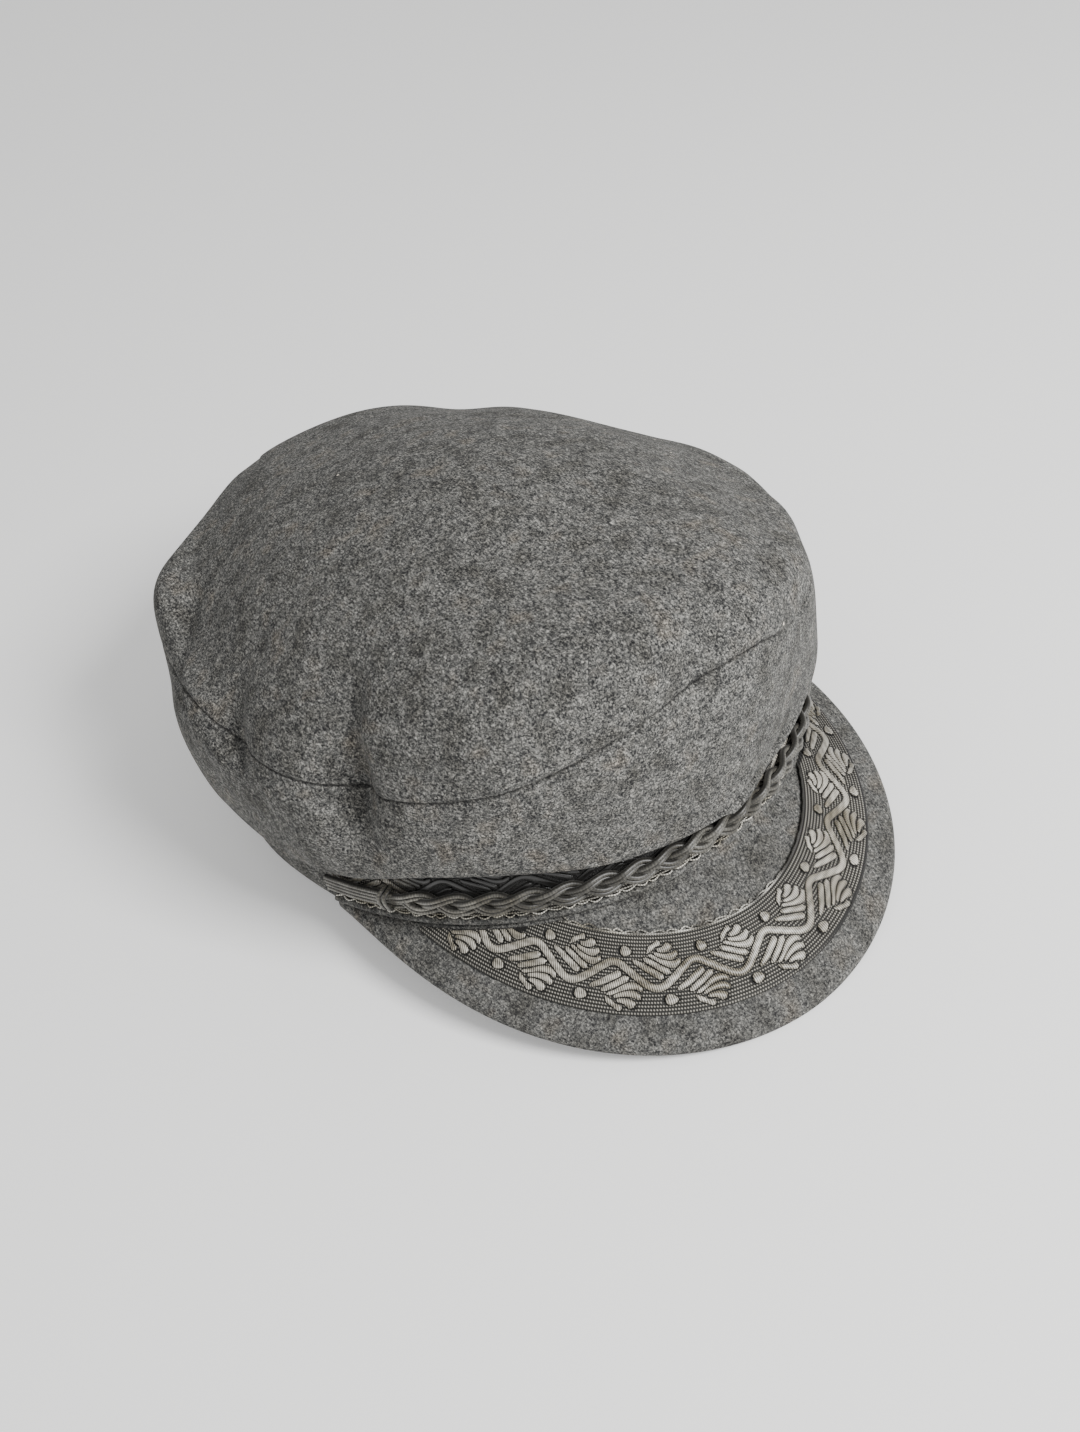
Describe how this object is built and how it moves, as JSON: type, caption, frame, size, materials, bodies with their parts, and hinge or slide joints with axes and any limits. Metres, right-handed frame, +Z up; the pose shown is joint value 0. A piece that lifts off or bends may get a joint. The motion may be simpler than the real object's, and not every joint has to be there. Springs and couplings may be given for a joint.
{
  "type": "skipper cap",
  "caption": "Soft grey wool cap with a low flaring crown, a stiff sloping visor, woven vine ribbon and a plaited cord over the visor.",
  "frame": {"origin": "middle of the cap's footprint box, on the surface that it rests on", "axes": "+Z up; the visor points to -Y; the wearer's left is +X"},
  "size_m": [0.1934, 0.2584, 0.1102],
  "materials": {
    "crown_wool": "milled grey wool cloth, matt and hairy, mottled light and dark",
    "band_wool": "milled grey wool cloth, matt, in shade",
    "visor_wool": "milled grey wool cloth stretched over board, matt",
    "vine_ribbon": "woven ribbon, raised silky vine on a fine dark rib",
    "braid_cord": "silky twin-ribbed cord with a soft sheen"
  },
  "bodies": {
    "root": {"crown_top": "crown_wool", "crown_side": "crown_wool", "head_band": "band_wool", "band_ribbon": "vine_ribbon", "braid": "braid_cord", "braid_keeper_left": "braid_cord", "braid_keeper_right": "braid_cord", "visor": "visor_wool", "visor_ribbon": "vine_ribbon", "visor_welt": "visor_wool"}
  },
  "joints": []
}
